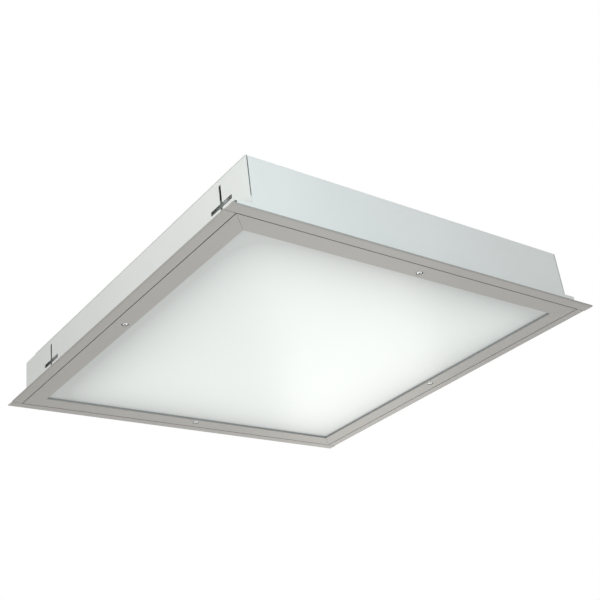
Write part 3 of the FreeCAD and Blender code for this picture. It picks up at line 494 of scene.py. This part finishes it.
on_places, enter, shape_of = repeat_tree("screws_on_places")
end_tree(on_places, enter, enter.outputs["Geometry"], shape_of)
clip_line = 263.29                          # from the middle to the clips' screws
clip_offset = 150.0                         # from the middle of a side to its clips
clip_seat = 12.6
clip_places = []
for x in (-clip_offset, clip_offset):
    clip_places += [(x, -clip_line, clip_seat), (clip_line, x, clip_seat),
                    (-x, clip_line, clip_seat), (-clip_line, -x, clip_seat)]
tray_places = [(x, y, 54.0) for x in (-170, 170) for y in (-271.89, 271.89)]
driver_places = [(-206, 211, 56.8), (46, 211, 56.8)]
lid_places = [(x, 315.5, 72.5) for x in (-180, 0, 180)]
block_places = [(148, 299.05, 54)]
for name, node, body, sizes, direction, places in (     # sizes: shank radius, head radius and height, length
        ("clip_pan_heads", "clip_screws", "diffuser_frame", (1.45, 2.8, 1.8, 2.2), (0, 0, -1), clip_places),
        ("tray_pan_heads", "tray_screws", "housing", (1.95, 4.0, 1.8, 6.0), (0, 0, 1), tray_places),
        ("driver_pan_heads", "driver_screws", "housing", (1.9, 3.8, 2.0, 2.8), (0, 0, -1), driver_places),
        ("block_pan_head", "block_screw", "housing", (1.45, 2.7, 1.6, 14.8), (0, 0, -1), block_places),
        ("lid_pan_heads", "lid_screws", "housing", (1.95, 3.6, 1.9, 8.0), (0, -1, 0), lid_places)):
    pattern = pan_head(name + "_pattern", *sizes, direction)
    points = bpy.data.meshes.new(name + "_places")
    points.from_pydata([Vector(place) * MM for place in places], [], [])
    screws = grown(name, points, on_places, {"Pattern": pattern, "Finish": zinc})
    bpy.data.objects.remove(pattern)
    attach(screws, body)
    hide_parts(node)

# ---------------------------------------------------------------------------------------------------
# Gear tray and its brackets: folded steel inside the housing, in the same white coat as the walls, so
# that it throws the light back through the pane. The brackets are spot-welded, the tray is screwed on.
dress(white_coat, "gear_tray", "tray_brackets")

# ---------------------------------------------------------------------------------------------------
# LED boards: six aluminium-backed strips under a glossy white solder mask, held flat under the tray. The
# copper tracks under the mask show as slightly darker bands, 12 mm from one to the next.
board, tree, shader, place = material_of("white_solder_mask")
track_pitch = 12 * MM                       # a wave repeats every 2 pi / 20 at scale 1
tracks = add_node(tree, "ShaderNodeTexWave", {"Vector": place, "Scale": 2 * pi / 20 / track_pitch,
                                              "Distortion": 0.4}, bands_direction="Y")
band = add_node(tree, "ShaderNodeMapRange", {"Value": tracks.outputs["Fac"], "From Min": 0.35,
                                             "From Max": 0.65})
mask = add_node(tree, "ShaderNodeMix", {0: band.outputs["Result"], 6: linear("#e4e7e6"),
                                        7: linear("#eff1f0")}, data_type="RGBA")
tree.links.new(mask.outputs[2], shader.inputs["Base Color"])
shader.inputs["Roughness"].default_value = 0.3
dress(board, "led_boards")

# ---------------------------------------------------------------------------------------------------
# LED packages: 3 mm white packages in reflow solder, each with a yellow phosphor window that faces down.
# One tree sets them out: 12 along a board, 40 mm apart, and 6 boards, 93.97 mm apart.
package_low = 51.6
board_pitch = 93.97
package_pitch = 40.0
package_shift = 3.0                         # the rows sit a little to the right of the boards' middle
white_case = moulded("white_led_package", "#e6e6e2", "#eeeeea", 0.4, 0.6)
phosphor = moulded("yellow_phosphor_resin", "#e8cf62", "#eed87a", 0.25, 0.4)
solder = bare_metal("bright_tin_solder", "#c9cccd", "#dddfdf", 0.25, 0.5)


def square_pattern(name, outline, material):
    """A small square piece from rings of (half width, height), to be repeated."""
    shape = bmesh.new()
    rings = [(lambda angle, half=half: half / cos((angle + pi / 4) % (pi / 2) - pi / 4), height)
             for half, height in outline]
    rings_of(shape, rings, 8, (0, 0, 0), (0, 0, 1))
    return piece_of(name, shape, material)


on_grid, enter, shape_of = repeat_tree("packages_on_boards", Columns="NodeSocketInt", Rows="NodeSocketInt",
                                       Length="NodeSocketFloat", Width="NodeSocketFloat",
                                       Place="NodeSocketVector")
grid = add_node(on_grid, "GeometryNodeMeshGrid", {"Vertices X": enter.outputs["Columns"],
                                                  "Vertices Y": enter.outputs["Rows"],
                                                  "Size X": enter.outputs["Length"],
                                                  "Size Y": enter.outputs["Width"]})
moved = add_node(on_grid, "GeometryNodeTransform", {"Geometry": grid.outputs["Mesh"],
                                                    "Translation": enter.outputs["Place"]})
end_tree(on_grid, enter, moved.outputs["Geometry"], shape_of)
for name, outline, finish, slot in (
        ("led_cases", [(0, 0.25), (1.15, 0.25), (1.25, 0), (1.45, 0), (1.5, 0.06), (1.5, 0.66), (0, 0.66)],
         white_case, "led_lens"),
        ("led_windows", [(0, 0.06), (0.9, 0.07), (1.2, 0.12), (1.2, 0.3), (0, 0.3)], phosphor, "led_lens"),
        ("led_solder", [(0, 0.6), (1.3, 0.6), (1.5, 0.7), (1.5, 0.8), (0, 0.8)], solder, "tinned_copper")):
    pattern = square_pattern(name + "_pattern", outline, finish)
    packages = grown(name, bpy.data.meshes.new(name + "_points"), on_grid,
                     {"Pattern": pattern, "Finish": finish, "Columns": 12, "Rows": 6,
                      "Length": 11 * package_pitch * MM, "Width": 5 * board_pitch * MM,
                      "Place": (package_shift * MM, 0.0, package_low * MM)})
    bpy.data.objects.remove(pattern)
    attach(packages, "housing")
    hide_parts("led_packages")

# ---------------------------------------------------------------------------------------------------
# Board connectors and jumper wires: white polycarbonate housings soldered to the boards' ends, joined by
# red wires with soft PVC insulation.
white_plastic = moulded("white_polycarbonate", "#e2e2de", "#ebebe8", 0.45, 0.8)
dress(white_plastic, "board_connectors")
red = moulded("red_wire_insulation", "#a6241d", "#b32d25", 0.4, 0.8)
dress(red, "jumper_wires", "led_wires")

# ---------------------------------------------------------------------------------------------------
# LED driver: a moulded white polycarbonate case with grey polyamide end covers over its terminals,
# screwed to the gear tray by its lugs. Both have the dull, even face of a moulding.
dress(white_plastic, "driver_case")
grey_plastic = moulded("grey_polyamide", "#8d9092", "#999c9e", 0.5, 0.8)
dress(grey_plastic, "driver_covers")

# ---------------------------------------------------------------------------------------------------
# Terminal box: a folded steel channel, spot-welded to the back wall, and a lid with three screws. Both
# have the housing's white coat.
dress(white_coat, "terminal_box_channel", "terminal_box_lid")

# ---------------------------------------------------------------------------------------------------
# Box entries: a soft rubber grommet for the mains cable, a snap-in grey plug in the spare entry, and an
# inner grommet where the wires pass into the housing. Their lips are round and grip the sheet.
rubber = moulded("black_rubber", "#262729", "#303133", 0.62, 0.8)
for name, node, seat, hole_r, bore_r, flange_r, flange, wall in (      # flange: its thickness
        ("cable_grommet_rubber", "cable_grommet", (215, 313.9, 51), 7.5, 4.5, 9.8, 2.5, 0.8),
        ("feed_grommet_rubber", "feed_grommet", (100, 282.6, 68), 6.5, 3.7, 8.5, 2.0, 1.6)):
    rings = []
    for low, sign in ((0, -1), (wall, 1)):
        lip = [(hole_r, low), (flange_r - 0.2, low), (flange_r, low + sign * 0.25),
               (flange_r, low + sign * 0.35 * flange), (flange_r - 0.3 * flange, low + sign * 0.8 * flange),
               (flange_r - 0.75 * flange, low + sign * flange), (bore_r + 0.8, low + sign * flange),
               (bore_r + 0.25, low + sign * 0.9 * flange), (bore_r, low + sign * 0.6 * flange)]
        rings += lip if sign > 0 else lip[::-1]
    shape = bmesh.new()
    rings_of(shape, rings, 48, seat, (0, 1, 0), hollow=True)
    grommet = piece_of(name, shape, rubber)
    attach(grommet, "housing")
    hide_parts(node)
plug_rings = [(0, -1.6), (5.2, -1.6), (5.6, -2.9), (6.4, -3.0), (6.7, -2.9), (7.5, -0.3), (7.5, 0.8),
              (9.4, 0.8), (9.5, 0.95), (9.4, 1.35), (8.7, 2.2), (8.2, 2.4), (5.6, 2.4), (5.2, 2.0), (0, 2.0)]
shape = bmesh.new()
rings_of(shape, plug_rings, 48, (-215, 313.9, 51), (0, 1, 0))
plug = piece_of("blanking_plug_cap", shape, grey_plastic)
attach(plug, "housing")
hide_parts("blanking_plug")

# ---------------------------------------------------------------------------------------------------
# Terminal block: a grey polyamide moulding, screwed to the channel's floor, with three orange release
# buttons that stand out against it.
dress(grey_plastic, "terminal_block")
orange = moulded("orange_polyamide", "#d2681c", "#db7426", 0.45, 0.6)
dress(orange, "release_button_earth", "release_button_neutral", "release_button_live")

# ---------------------------------------------------------------------------------------------------
# Wiring: wires with soft PVC insulation in plain colours, brown for the mains and green for the earth.
# The earth wire ends in a tinned lug on a turned brass stud.
dress(moulded("brown_wire_insulation", "#5f3b25", "#6b442c", 0.4, 0.8), "mains_wires")
dress(moulded("green_wire_insulation", "#4f8a2c", "#5b9634", 0.4, 0.8), "earth_wire")
dress(bare_metal("tin_plated_copper", "#cfcbc4", "#dedbd5", 0.35, 1.0), "earth_lug")
dress(bare_metal("turned_brass", "#c9a558", "#d9b970", 0.3, 1.0), "earth_stud")
